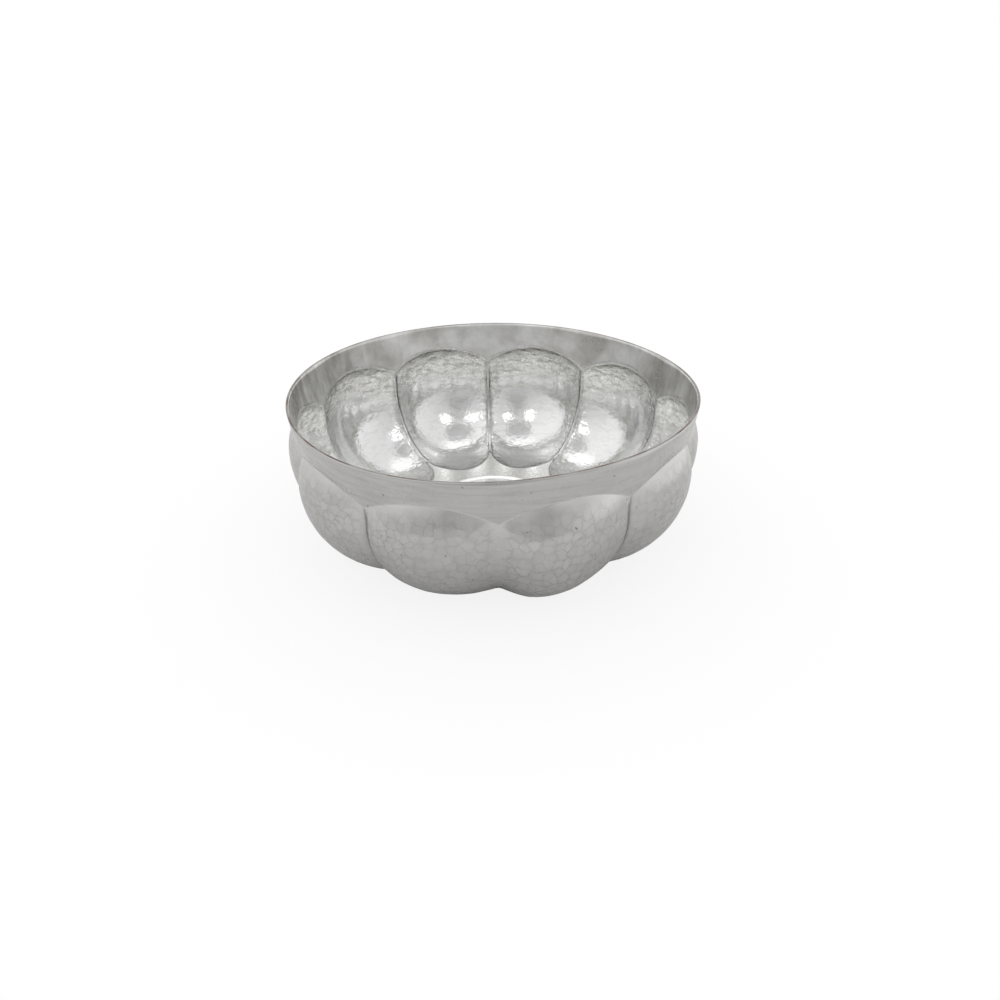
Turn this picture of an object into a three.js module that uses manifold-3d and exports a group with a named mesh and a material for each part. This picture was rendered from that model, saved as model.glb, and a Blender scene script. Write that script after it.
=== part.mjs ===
// A lobed bowl, raised from one copper sheet and tinned inside and out.
// Millimetres, +Z up. The origin is on the table, under the middle of the bowl, and -Y is the front.
//
// The wall is one surface, used three times. A smooth base surface of revolution carries a rim band,
// a rounded belly and a flat floor. Ten lobes are struck outwards from it, and the lines where the
// base is left bare are the grooves between them. Every layer of metal is that surface, moved inwards.

import * as THREE from "three";
import { mergeVertices } from "three/addons/utils/BufferGeometryUtils.js";
import Module from "manifold-3d";

const wasm = await Module();
wasm.setup();

// Driving dimensions. Depths are measured down from the rim.
const LOBES = 10;
const RIM_RADIUS = 100;
const NECK_RADIUS = 95; // outside radius where the grooves run upright
const NECK_DEPTH = 31;
const RIM_FLARE = 0.14; // how far the band leans out at the rim, as a slope
const BELLY_RADIUS = 38; // radius of the rounded belly, along a groove

const ARCH_FOOT_DEPTH = 21.5; // where two arches meet on the rim band
const ARCH_RISE = 8; // from there up to the top of an arch
const TOE_REACH = 20; // how far a lobe's toe runs in over the floor, past the grooves beside it

const BULGE_TOP = 8.4; // how far a lobe stands out of the base, near its arch
const BULGE_TOE = 4.2; // and near its toe

const RING_RADIUS = 30.5; // the ring chased into the floor
const RING_WIDTH = 4.2;
const RING_DEPTH = 0.8;
const PLAIN_FLOOR = 11; // flat floor left between the ring and the lobes' toes

const COPPER = 1.0;
const TIN = 0.1; // a heavy coat wiped on by hand
const FOOT_WEAR = 0.4; // metal worn off under each lobe, where the bowl stands

// How finely the surface is divided
const LOBE_COLUMNS = 8;
const BAND_ROWS = 2;
const LOBE_ROWS = 8;
const RING_ROWS = 4;

// Shape of a lobe: how square its sides and its two ends are
const SIDE_SQUARENESS = 3;
const END_SQUARENESS = 2.6;
const END_ROUNDNESS = 0.45;

const BELLY_CENTRE = NECK_RADIUS - BELLY_RADIUS;
const BELLY_LENGTH = (BELLY_RADIUS * Math.PI) / 2;

// Places along the base profile, measured from the rim
const FLOOR_START = NECK_DEPTH + BELLY_LENGTH;
const CENTRE = FLOOR_START + BELLY_CENTRE;
const RING_START = CENTRE - RING_RADIUS - RING_WIDTH / 2;
const TOE_END = RING_START - PLAIN_FLOOR;
const GROOVE_END = TOE_END - TOE_REACH;

// The base profile at a distance along it from the rim: where it is, and which way is out.
function baseProfile(along) {
  if (along <= NECK_DEPTH) {
    const t = along / NECK_DEPTH;
    const inset = RIM_RADIUS - NECK_RADIUS;
    const flare = RIM_FLARE * NECK_DEPTH;
    const radius = NECK_RADIUS + inset * (2 * t ** 3 - 3 * t ** 2 + 1) - flare * (t ** 3 - 2 * t ** 2 + t);
    const slope = (inset * (6 * t ** 2 - 6 * t) - flare * (3 * t ** 2 - 4 * t + 1)) / NECK_DEPTH;
    return { radius, depth: along, out: new THREE.Vector2(1, slope).normalize() };
  }
  if (along <= FLOOR_START) {
    const turn = (along - NECK_DEPTH) / BELLY_RADIUS;
    const out = new THREE.Vector2(Math.cos(turn), -Math.sin(turn));
    return { radius: BELLY_CENTRE + BELLY_RADIUS * out.x, depth: NECK_DEPTH - BELLY_RADIUS * out.y, out };
  }
  const depth = NECK_DEPTH + BELLY_RADIUS;
  return { radius: CENTRE - along, depth, out: new THREE.Vector2(0, -1) };
}

// A half ellipse across a lobe, 1 in its middle and 0 at the grooves on its two sides.
function arch(across) {
  return Math.sqrt(Math.max(0, 1 - across ** 2));
}

function lobeTop(across) {
  return ARCH_FOOT_DEPTH - ARCH_RISE * arch(across);
}

function lobeToe(across) {
  return GROOVE_END + TOE_REACH * arch(across);
}

// How far a lobe stands out, from -1 at one groove to 1 at the next and from -1 at its arch to 1 at its toe.
function bulge(across, down) {
  const height = THREE.MathUtils.lerp(BULGE_TOP, BULGE_TOE, (down + 1) / 2);
  const sides = 1 - Math.abs(across) ** SIDE_SQUARENESS;
  const ends = Math.max(0, 1 - Math.abs(down) ** END_SQUARENESS) ** END_ROUNDNESS;
  return height * sides * ends;
}

// The ring pressed down into the floor, as a smooth trough.
function ringTrough(radius) {
  const offset = (radius - RING_RADIUS) / (RING_WIDTH / 2);
  return Math.abs(offset) < 1 ? RING_DEPTH * Math.cos((offset * Math.PI) / 2) ** 2 : 0;
}

// One line down the wall, from the rim to the middle of the floor, as pairs of a radius and a depth.
function wallLine(across) {
  const line = [];
  const add = (along, lift) => {
    const { radius, depth, out } = baseProfile(along);
    line.push(new THREE.Vector2(radius + lift * out.x, depth - lift * out.y));
  };
  const top = lobeTop(across);
  const toe = lobeToe(across);
  for (let row = 0; row < BAND_ROWS; row++) add((top * row) / BAND_ROWS, 0);
  for (let row = 0; row <= LOBE_ROWS; row++) {
    const down = -Math.cos((Math.PI * row) / LOBE_ROWS);
    add(THREE.MathUtils.lerp(top, toe, (down + 1) / 2), bulge(across, down));
  }
  for (let row = 0; row <= RING_ROWS; row++) {
    const along = RING_START + (RING_WIDTH * row) / RING_ROWS;
    add(along, ringTrough(CENTRE - along));
  }
  return line;
}

// The outside of the bowl as a grid of points, a column for each line down the wall, with the point
// in the middle of the floor last. Depths become heights once the lowest point is known.
function outsideSurface() {
  const columns = LOBES * LOBE_COLUMNS;
  const points = [];
  for (let column = 0; column < columns; column++) {
    const place = (column % LOBE_COLUMNS) / LOBE_COLUMNS;
    const across = -Math.cos(Math.PI * place);
    const lobe = Math.floor(column / LOBE_COLUMNS);
    const angle = ((lobe + (across + 1) / 2) / LOBES) * 2 * Math.PI;
    for (const { x: radius, y: depth } of wallLine(across)) {
      points.push(new THREE.Vector3(radius * Math.sin(angle), -radius * Math.cos(angle), -depth));
    }
  }
  const rows = points.length / columns;
  points.push(new THREE.Vector3(0, 0, -baseProfile(CENTRE).depth));
  const lowest = Math.min(...points.map((point) => point.z));
  for (const point of points) point.z -= lowest + FOOT_WEAR;
  return { points, columns, rows };
}

// Triangles of the grid, all facing out, with a fan round the middle of the floor. Each four points
// are split across their shorter diagonal, so that the triangles run along the arches and toes.
function surfaceFaces({ points, columns, rows }) {
  const faces = [];
  const middle = columns * rows;
  for (let column = 0; column < columns; column++) {
    const here = column * rows;
    const next = ((column + 1) % columns) * rows;
    for (let row = 0; row < rows - 1; row++) {
      const [a, b, c, d] = [here + row, next + row, next + row + 1, here + row + 1];
      const fallsAway = points[a].distanceTo(points[c]) < points[b].distanceTo(points[d]);
      faces.push(...(fallsAway ? [a, c, b, a, d, c] : [a, d, b, b, d, c]));
    }
    faces.push(here + rows - 1, middle, next + rows - 1);
  }
  return faces;
}

// Which way is out at each point. The rim keeps level, so that every layer ends flush there.
function outwardDirections({ points, columns, rows }, faces) {
  const geometry = new THREE.BufferGeometry().setFromPoints(points).setIndex(faces);
  geometry.computeVertexNormals();
  const normals = geometry.getAttribute("normal");
  return points.map((point, index) => {
    const out = new THREE.Vector3().fromBufferAttribute(normals, index);
    const onRim = index < columns * rows && index % rows === 0;
    return onRim ? out.setZ(0).normalize() : out;
  });
}

const surface = outsideSurface();
const surfaceTriangles = surfaceFaces(surface);
const outward = outwardDirections(surface, surfaceTriangles);

// A layer of metal between two distances in from the outside, as one closed mesh.
function layer(outerInset, innerInset) {
  const inset = (distance) => surface.points.map((point, i) => point.clone().addScaledVector(outward[i], -distance));
  const count = surface.points.length;
  const faces = [...surfaceTriangles];
  for (let i = 0; i < surfaceTriangles.length; i += 3) {
    const [a, b, c] = surfaceTriangles.slice(i, i + 3);
    faces.push(count + a, count + c, count + b);
  }
  for (let column = 0; column < surface.columns; column++) {
    const here = column * surface.rows;
    const next = ((column + 1) % surface.columns) * surface.rows;
    faces.push(here, next, count + next, here, count + next, count + here);
  }
  const geometry = new THREE.BufferGeometry();
  geometry.setFromPoints([...inset(outerInset), ...inset(innerInset)]);
  return geometry.setIndex(faces);
}

function toSolid(geometry) {
  const bare = new THREE.BufferGeometry().setAttribute("position", geometry.getAttribute("position"));
  const merged = mergeVertices(bare.setIndex(geometry.getIndex()));
  return new wasm.Manifold(
    new wasm.Mesh({
      numProp: 3,
      vertProperties: merged.getAttribute("position").array,
      triVerts: new Uint32Array(merged.getIndex().array),
    }),
  );
}

function toGeometry(solid) {
  const { vertProperties, triVerts } = solid.getMesh();
  const geometry = new THREE.BufferGeometry();
  geometry.setAttribute("position", new THREE.BufferAttribute(vertProperties, 3));
  return geometry.setIndex(new THREE.BufferAttribute(triVerts, 1));
}

// Wears the undersides of the lobes flat, level with the table.
function wornFlat(geometry) {
  const width = 4 * RIM_RADIUS;
  const table = new THREE.BoxGeometry(width, width, RIM_RADIUS).translate(0, 0, -RIM_RADIUS / 2);
  return toGeometry(toSolid(geometry).subtract(toSolid(table)));
}

const copperMetal = new THREE.MeshStandardMaterial({ color: 0xb87355, metalness: 1, roughness: 0.35 });
const tinMetal = new THREE.MeshStandardMaterial({ color: 0xc9c8c4, metalness: 1, roughness: 0.3 });

const bowl = new THREE.Group();

function addNode(name, geometry, material) {
  geometry.computeVertexNormals();
  const mesh = new THREE.Mesh(geometry, material);
  mesh.name = name;
  bowl.add(mesh);
}

addNode("tin_coat_outside", wornFlat(layer(0, TIN)), tinMetal);
addNode("copper_body", wornFlat(layer(TIN, TIN + COPPER)), copperMetal);
addNode("tin_lining_inside", layer(TIN + COPPER, TIN + COPPER + TIN), tinMetal);

export default bowl;
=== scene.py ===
# %% [markdown]
# A lobed bowl of tinned copper.
# The real bowl is one disc of copper, raised over stakes into a deep round shape. Ten lobes are then
# driven out from the inside, the outside is planished, blow beside blow, and hot tin is wiped over
# both faces. This script loads the measured model of the bowl as a fixed frame, and dresses each of
# its three layers of metal with a fine mesh and a finish of its own.

import math

import bpy
import numpy as np
from mathutils import Matrix, Vector


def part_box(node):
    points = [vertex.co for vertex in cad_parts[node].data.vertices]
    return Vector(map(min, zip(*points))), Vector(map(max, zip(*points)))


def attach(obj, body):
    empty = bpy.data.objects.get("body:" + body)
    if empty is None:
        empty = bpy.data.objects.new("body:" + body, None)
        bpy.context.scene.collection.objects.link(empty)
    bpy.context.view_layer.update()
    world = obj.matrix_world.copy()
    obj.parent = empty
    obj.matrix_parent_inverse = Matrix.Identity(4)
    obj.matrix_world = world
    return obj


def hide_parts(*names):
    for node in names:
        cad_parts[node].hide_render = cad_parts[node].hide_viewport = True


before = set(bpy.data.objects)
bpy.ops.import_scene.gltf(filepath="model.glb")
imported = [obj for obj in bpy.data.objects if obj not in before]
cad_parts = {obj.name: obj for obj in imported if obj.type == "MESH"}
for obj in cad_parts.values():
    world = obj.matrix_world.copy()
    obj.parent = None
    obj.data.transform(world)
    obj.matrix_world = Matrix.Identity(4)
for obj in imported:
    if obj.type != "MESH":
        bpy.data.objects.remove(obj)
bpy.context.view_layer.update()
MM = 0.001
bowl_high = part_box("tin_coat_outside")[1]
RIM_RADIUS = bowl_high.y / MM
RIM_HEIGHT = bowl_high.z / MM
print(f"{len(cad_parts)} nodes, rim radius {RIM_RADIUS:.1f} mm, rim height {RIM_HEIGHT:.1f} mm")

# %% [markdown]
# The camera.
# It stands a little to the left of the front groove and looks down into the bowl. A bowl seen from
# this near shows its far wall smaller than its near one, so the distance matters as much as the
# angle. The picture's frame is shifted on the lens, because the bowl stands left of and above the
# frame's middle.

# %% Camera
PICTURE = 1000  # pixels on each side
FOCAL_PIXELS = 843.6
AXIS_AT_PIXEL = (491.2, 385.9)
CAMERA_DISTANCE = 0.420
CAMERA_ELEVATION = math.radians(22.16)
CAMERA_TURN = math.radians(1.18)  # to the left of the front groove
CAMERA_ROLL = math.radians(1.08)  # clockwise
STANDS_HIGHER = 0.85  # mm that the uneven feet lift the bowl by


def bearing(turn, elevation):
    """A direction from the bowl, by its turn to the right of the front and its elevation."""
    level = math.cos(elevation)
    return Vector((math.sin(turn) * level, -math.cos(turn) * level, math.sin(elevation)))


target = Vector((0, 0, (RIM_HEIGHT + STANDS_HIGHER) * MM))
back = bearing(-CAMERA_TURN, CAMERA_ELEVATION)
level_right = Vector((math.cos(CAMERA_TURN), -math.sin(CAMERA_TURN), 0))
level_up = back.cross(level_right)
right = math.cos(CAMERA_ROLL) * level_right - math.sin(CAMERA_ROLL) * level_up
up = math.sin(CAMERA_ROLL) * level_right + math.cos(CAMERA_ROLL) * level_up

lens = bpy.data.cameras.new("camera")
lens.sensor_width = 36
lens.lens = FOCAL_PIXELS * lens.sensor_width / PICTURE
lens.shift_x = 0.5 - AXIS_AT_PIXEL[0] / PICTURE
lens.shift_y = AXIS_AT_PIXEL[1] / PICTURE - 0.5
lens.clip_start = 0.01
camera = bpy.data.objects.new("camera", lens)
turned = Matrix((right, up, back)).transposed().to_4x4()
camera.matrix_world = Matrix.Translation(target + CAMERA_DISTANCE * back) @ turned
bpy.context.scene.collection.objects.link(camera)
bpy.context.scene.camera = camera
print(f"lens {lens.lens:.1f} mm, shift {lens.shift_x:.3f}, {lens.shift_y:.3f}")

# %% [markdown]
# The wall's form.
# One formula gives the whole wall. A smooth base runs from the rim down the band, round the belly
# and in over the floor, and each lobe stands out of it like a pillow. The grooves are where two
# pillows meet. A formula is chosen over sculpting because it keeps ten lobes alike, and because the
# measured model is made with the same one.

# %% The smooth base under the lobes
NECK_RADIUS = 95.0  # where the grooves run upright
NECK_DEPTH = 31.0
RIM_FLARE = 0.14  # how far the band leans out at the rim, as a slope
BELLY_RADIUS = 38.0
BELLY_CENTRE = NECK_RADIUS - BELLY_RADIUS
FLOOR_START = NECK_DEPTH + BELLY_RADIUS * math.pi / 2
CENTRE = FLOOR_START + BELLY_CENTRE
print(f"along a groove the wall is {CENTRE:.0f} mm from the rim to the middle of the floor")


def base_wall(along):
    """Radius, depth below the rim, and the outward direction in and up, by distance along the wall."""
    t = np.clip(along / NECK_DEPTH, 0, 1)
    drop = RIM_RADIUS - NECK_RADIUS
    lean = RIM_FLARE * NECK_DEPTH
    band_radius = NECK_RADIUS + drop * (2 * t**3 - 3 * t**2 + 1) - lean * (t**3 - 2 * t**2 + t)
    slope = (drop * (6 * t**2 - 6 * t) - lean * (3 * t**2 - 4 * t + 1)) / NECK_DEPTH
    turn = np.clip((along - NECK_DEPTH) / BELLY_RADIUS, 0, math.pi / 2)
    on_floor = np.maximum(along - FLOOR_START, 0)
    below_band = along > NECK_DEPTH
    radius = np.where(below_band, BELLY_CENTRE + BELLY_RADIUS * np.cos(turn) - on_floor, band_radius)
    depth = np.where(below_band, NECK_DEPTH + BELLY_RADIUS * np.sin(turn), along)
    out = np.where(below_band, np.cos(turn), 1 / np.hypot(1, slope))
    rise = np.where(below_band, -np.sin(turn), slope / np.hypot(1, slope))
    return radius, depth, out, rise


# %% Outlines of a lobe, and of the ring in the floor
LOBES = 10
ARCH_FOOT_DEPTH = 22.0
ARCH_RISE = 9.0
ARCH_FULLNESS = 2.1  # 2 is a parabola
TOE_REACH = 20.0
RING_RADIUS = 30.5
RING_WIDTH = 4.2
PLAIN_FLOOR = 11.0  # between the ring and the toes
RING_START = CENTRE - RING_RADIUS - RING_WIDTH / 2
TOE_END = RING_START - PLAIN_FLOOR
GROOVE_END = TOE_END - TOE_REACH


def lobe_top(across):
    return ARCH_FOOT_DEPTH - ARCH_RISE * (1 - np.abs(across) ** ARCH_FULLNESS)


def lobe_toe(across):
    return GROOVE_END + TOE_REACH * np.sqrt(1 - across**2)


print(f"a lobe is {lobe_toe(0) - lobe_top(0):.0f} mm long")

# %% How far a lobe stands out
BULGE_TOP = 8.2
BULGE_TOE = 4.2
TOP_ROUND = 18.0  # mm below the arch over which a lobe rises to its full bulge
TOP_SQUARENESS = 2.4
TOE_SQUARENESS = 5.0
TOE_ROUNDNESS = 0.45
SIDE_SQUARENESS = 2.4
CREASE_DEPTH = 0.16  # part of the bulge that a lobe gains in the crease right beside a groove
CREASE_WIDTH = 0.7
FLANK_TRADE = 2.8  # squareness given up for a deep crease, so that the flanks stay where they are


def bulge(across, down, rounding, crease):
    """How far a lobe stands out, from -1 to 1 across it and from its arch at -1 down to its toe at 1."""
    height = BULGE_TOP + (BULGE_TOE - BULGE_TOP) * (down + 1) / 2
    below_arch = (down + 1) / 2 * (lobe_toe(across) - lobe_top(across))
    half_width = math.pi / LOBES * base_wall(lobe_top(across) + below_arch)[0]
    from_groove = np.hypot((1 - np.abs(across)) * half_width, rounding)
    squareness = SIDE_SQUARENESS - FLANK_TRADE * crease
    pillow = 1 - np.maximum(0, 1 - from_groove / half_width) ** squareness
    creased = 1 - np.exp(-(from_groove - rounding) / CREASE_WIDTH)
    sides = pillow + crease * (creased - pillow)
    shoulder = 1 - np.maximum(0, 1 - below_arch / TOP_ROUND) ** TOP_SQUARENESS
    toe_end = np.maximum(0, 1 - np.maximum(0, down) ** TOE_SQUARENESS) ** TOE_ROUNDNESS
    return height * sides * shoulder * toe_end


print(f"half way down its middle a lobe stands out {bulge(0.0, 0.0, 0.0, 0.0):.1f} mm")

# %% [markdown]
# The wall as a grid of points.
# Columns run down the bowl and rows run round it. The rows follow the arches and the toes, so that
# the crisp edges of each lobe lie along the mesh and not across it. Steps are near 1 mm, fine enough
# for the hammer marks that come later.

# %% Columns
LOBE_COLUMNS = 64
COLUMNS = LOBES * LOBE_COLUMNS
COLUMNS_CROWD = 0.6  # towards the grooves


def crowded(count, how_much):
    """Steps from 0 to 1 that crowd together towards both ends."""
    t = np.arange(count + 1) / count
    return t - how_much * np.sin(2 * math.pi * t) / (2 * math.pi)


across = np.tile(2 * crowded(LOBE_COLUMNS, COLUMNS_CROWD)[:-1] - 1, LOBES)
lobe = np.repeat(np.arange(LOBES), LOBE_COLUMNS)
angle = (lobe + (across + 1) / 2) * 2 * math.pi / LOBES
top = lobe_top(across)
toe = lobe_toe(across)
print(f"{COLUMNS} columns")

# %% Rows
BAND_ROWS = 14
LOBE_ROWS = 76
TOE_ROWS = 12
RING_ROWS = 8
FLOOR_ROWS = 14
BAND_CROWD = 1.6  # towards the arch
ROWS_CROWD = 0.75  # towards the arch and the toe
ring_end = RING_START + RING_WIDTH
down = 2 * crowded(LOBE_ROWS, ROWS_CROWD) - 1
down_band = 1 - (1 - np.arange(BAND_ROWS) / BAND_ROWS) ** BAND_CROWD
along = np.array(
    [top * t for t in down_band]
    + [top + (toe - top) * (v + 1) / 2 for v in down]
    + [toe + (RING_START - toe) * t for t in crowded(TOE_ROWS, 0)[1:-1]]
    + [RING_START + RING_WIDTH * t + 0 * top for t in crowded(RING_ROWS, 0)]
    + [ring_end + (CENTRE - ring_end) * t + 0 * top for t in crowded(FLOOR_ROWS, 0)[1:-1]]
)
ROWS = len(along)
TOE_ROW = BAND_ROWS + LOBE_ROWS
print(f"{ROWS} rows")

# %% [markdown]
# What the hand left.
# No hammered bowl is quite round or level, and no two lobes are quite as full. The rim wanders by
# about a millimetre, in slow waves that die out towards the floor, and a few lobes are made fuller
# or leaner. Straight copies of one lobe would look cast.

# %% Out of round, out of level
OUT_OF_ROUND = ((0.30, 0.60), (-0.40, 0.20), (-0.45, 0.0))  # mm, as cosine and sine, once to thrice round
OUT_OF_LEVEL = ((-0.40, 0.05), (-0.20, 1.05), (0.0, 0.40))
RIM_RAISED = 0.5
# Of each lobe, counted from the front groove
FULLNESS = (1.13, 0.92, 1.07, 0.97, 1.03, 1.0, 1.04, 0.98, 0.95, 0.90)
LEANS = (-0.3, 0.1, -0.1, 0.0, 0.1, 0.12, 0.05, 0.1, -0.1, -0.25)  # fuller on one side than the other
HANGS = (0.9, -0.35, 0.0, 0.3, -0.2, 0.1, 0.3, -0.1, -0.5, 0.2)  # mm lower
HANGING_BY = 60  # mm below the rim by which a lobe hangs its full amount


def waves(pairs):
    """Slow waves round the bowl."""
    return sum(c * np.cos((k + 1) * angle) + s * np.sin((k + 1) * angle) for k, (c, s) in enumerate(pairs))


def eased(t):
    t = np.clip(t, 0, 1)
    return t * t * (3 - 2 * t)


trough = np.clip(np.abs(CENTRE - along - RING_RADIUS) / (RING_WIDTH / 2), 0, 1)
near_rim = 1 - eased(along / FLOOR_START)
past_belly = eased((along - FLOOR_START) / (RING_START - FLOOR_START))  # the floor's middle stays level
in_lobes_middle = np.cos(across * math.pi / 2)
hanging = eased(along / HANGING_BY) * (1 - past_belly) * in_lobes_middle * np.take(HANGS, lobe)
print(f"the rim is up to {np.abs(waves(OUT_OF_ROUND)).max():.2f} mm out of round")

# %% The wall as points, and its normals
RING_DEPTH = 0.8


def wall(rounding, crease):
    """The wall as a grid of points. Rounding is how many mm of a groove are rounded, on each side."""
    lift = RING_DEPTH * np.cos(trough * math.pi / 2) ** 2
    for row, v in enumerate(down):
        fullness = np.take(FULLNESS, lobe) * (1 + np.take(LEANS, lobe) * across)
        valley = bulge(np.ones_like(across), v, rounding, crease)
        lift[BAND_ROWS + row] = valley + (bulge(across, v, rounding, crease) - valley) * fullness
    radius, depth, out, rise = base_wall(along)
    radius = radius + lift * out + waves(OUT_OF_ROUND) * near_rim
    height = RIM_HEIGHT + STANDS_HIGHER - depth + lift * rise
    height += (RIM_RAISED + waves(OUT_OF_LEVEL)) * near_rim - hanging
    return np.stack([radius * np.sin(angle), -radius * np.cos(angle), height], axis=-1)


def outward(points):
    """The grid's normals, from the steps between neighbours. The rim's stay level."""
    round_it = np.roll(points, -1, axis=1) - np.roll(points, 1, axis=1)
    normal = np.cross(np.gradient(points, axis=0), round_it)
    normal[0, :, 2] = 0
    return normal / np.linalg.norm(normal, axis=-1, keepdims=True)


# %% [markdown]
# Outside and inside.
# Seen from outside, a groove between two lobes is a valley, with a crease along its bottom where a
# blunt chisel ran down it. The groove in front is softer and has no crease. Seen from inside each is a
# narrow ridge, struck sharp over the edge of a stake. So the two faces of the sheet are made apart.
# Under the lobes the outside is worn flat by the table, and the inside is held clear of it.

# %% Two faces of the sheet
SHEET = 1.2  # copper and both coats of tin
WORN_SHEET = 0.9  # what is left of it where the bowl stands
FOOT_SOFT = 0.6  # mm over which a foot turns flat, seen from inside
FRONT_VALLEY = 3.2  # mm, for the groove in front, which is worn softest
FRONT_REACH = math.radians(14)  # from that groove to where the valleys are crisp again
VALLEY_ROUND = 1.2
RIDGE_ROUND = 0.4
near_front = np.exp(-((np.minimum(angle, 2 * math.pi - angle) / FRONT_REACH) ** 4))
crispness = 1 - near_front

crease = CREASE_DEPTH * crispness
unworn = wall(VALLEY_ROUND + (FRONT_VALLEY - VALLEY_ROUND) * near_front, crease)
print(f"before wear the lobes reach down to {unworn[..., 2].min():.2f} mm")
outside = np.concatenate([unworn[..., :2], np.maximum(unworn[..., 2:], 0)], axis=-1)
outside_normals = outward(outside)
through_sheet = outward(wall(FRONT_VALLEY, 0))  # directions of a smooth wall, so that a ridge stays narrow
inside = wall(RIDGE_ROUND, crease) - SHEET * through_sheet
pressed = WORN_SHEET + FOOT_SOFT * np.logaddexp(0, (inside[..., 2] - WORN_SHEET) / FOOT_SOFT)
inside = np.concatenate([inside[..., :2], pressed[..., None]], axis=-1)

# %% [markdown]
# Closed layers of metal.
# Each layer is a closed body: a face that shows, a coarser face that lies hidden inside the sheet,
# and a lip that joins them at the rim. Copper shows only in the lip. The grid runs in to the middle
# of the floor, where a fan of triangles closes it.

# %% Grids and lips
TIN = 0.1  # what shows of a tin coat at the rim
HIDDEN = 0.38  # how deep the hidden faces lie, so that a coarse one can't poke through
HIDDEN_BY = 3  # mm below the rim by which they lie that deep
HIDDEN_STEP = 2  # every second column is kept on a hidden face
BELLY_KEPT, FLOOR_KEPT = 24, 12  # rows
LIP_DOME = 0.15
into_sheet = TIN + (HIDDEN - TIN) * eased(along / HIDDEN_BY)[..., None]
under_outside = outside - into_sheet * outside_normals
under_inside = inside + into_sheet * through_sheet
band_rows = np.arange(BAND_ROWS + 2)  # a coarse face keeps every row of the band and round the toes
toe_rows = np.arange(TOE_ROW - 2, TOE_ROW + 3)
belly_rows = np.linspace(BAND_ROWS + 2, TOE_ROW - 3, BELLY_KEPT)
floor_rows = np.linspace(TOE_ROW + 3, ROWS - 1, FLOOR_KEPT)
kept_rows = np.concatenate([band_rows, belly_rows, toe_rows, floor_rows])
hidden_rows = np.unique(kept_rows.round().astype(int))
print(f"{len(hidden_rows)} of {ROWS} rows are kept on a hidden face")


def thinned(points):
    """A coarser copy of a grid."""
    return points[hidden_rows][:, ::HIDDEN_STEP]


def face_grid(rows, columns, first, turned_in):
    """Faces of a grid that runs right round, with a fan to the middle point that follows the grid."""
    row, column = np.meshgrid(np.arange(rows - 1), np.arange(columns), indexing="ij")
    here = first + row * columns + column
    beside = first + row * columns + (column + 1) % columns
    quads = np.stack([here, here + columns, beside + columns, beside], axis=-1).reshape(-1, 4)
    last = first + (rows - 1) * columns
    ring = np.arange(columns)
    middle = np.full(columns, first + rows * columns)
    fan = np.stack([last + ring, middle, last + (ring + 1) % columns], axis=-1)
    step = -1 if turned_in else 1
    return quads[:, ::step].tolist() + fan[:, ::step].tolist()


# %% A closed layer
def closed_layer(name, shown, hidden, shown_is_outside, domed=0.0):
    """A closed mesh object between two grids. The hidden one may have fewer columns."""
    lip_height = np.array([0, 0, domed])
    columns = shown.shape[1]
    fewer = hidden.shape[1]
    step = columns // fewer
    hidden_edge = np.repeat(hidden[0], step, axis=0)
    if step > 1:
        hidden_edge[1::step] = (hidden[0] + np.roll(hidden[0], -1, axis=0)) / 2
    lip = (shown[0] + hidden_edge) / 2 + lip_height
    parts = [shown.reshape(-1, 3), shown[-1].mean(axis=0)[None]]
    parts += [hidden.reshape(-1, 3), hidden[-1].mean(axis=0)[None], lip]
    first_hidden = len(parts[0]) + 1
    first_lip = first_hidden + len(parts[2]) + 1
    faces = face_grid(len(shown), columns, 0, not shown_is_outside)
    faces += face_grid(len(hidden), fewer, first_hidden, shown_is_outside)
    order = 1 if shown_is_outside else -1
    for here in range(columns):
        beside = (here + 1) % columns
        faces.append([here, beside, first_lip + beside, first_lip + here][::order])
    for here in range(fewer):
        beside = (here + 1) % fewer
        lips = [first_lip + (step * here + k) % columns for k in range(step + 1)]
        faces.append([*lips, first_hidden + beside, first_hidden + here][::order])
    mesh = bpy.data.meshes.new(name)
    mesh.from_pydata((np.concatenate(parts) * MM).tolist(), [], faces)
    mesh.polygons.foreach_set("use_smooth", [True] * len(mesh.polygons))
    mesh.validate()
    made = bpy.data.objects.new(name, mesh)
    bpy.context.scene.collection.objects.link(made)
    triangles = sum(len(face) - 2 for face in faces)
    print(f"{name}: {len(mesh.vertices)} points, {triangles} triangles")
    return made


tin_outside = closed_layer("hammered_tin_outside", outside, thinned(under_outside), shown_is_outside=True)
copper_sheet = closed_layer(
    "raised_copper_sheet", thinned(under_outside), thinned(under_inside),
    shown_is_outside=True, domed=LIP_DOME,
)
tin_inside = closed_layer("wiped_tin_lining", inside, thinned(under_inside), shown_is_outside=False)

# %% [markdown]
# Where each hammer blow falls.
# A smith works round the bowl in courses, so blows are laid out on the wall's own two measures: how
# far across the lobe, and how far down from the rim. They are kept in a UV map in millimetres. It has
# a seam along each groove and each toe, where the real work stops too.

# %% Map of the blows
BLOWS = "blows"
LOBE_APART = 70  # mm in the map between lobes, so that no two are struck alike
WANDER = 0.5  # mm that a course of blows strays from its line
WANDER_LENGTH = 8.3


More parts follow.
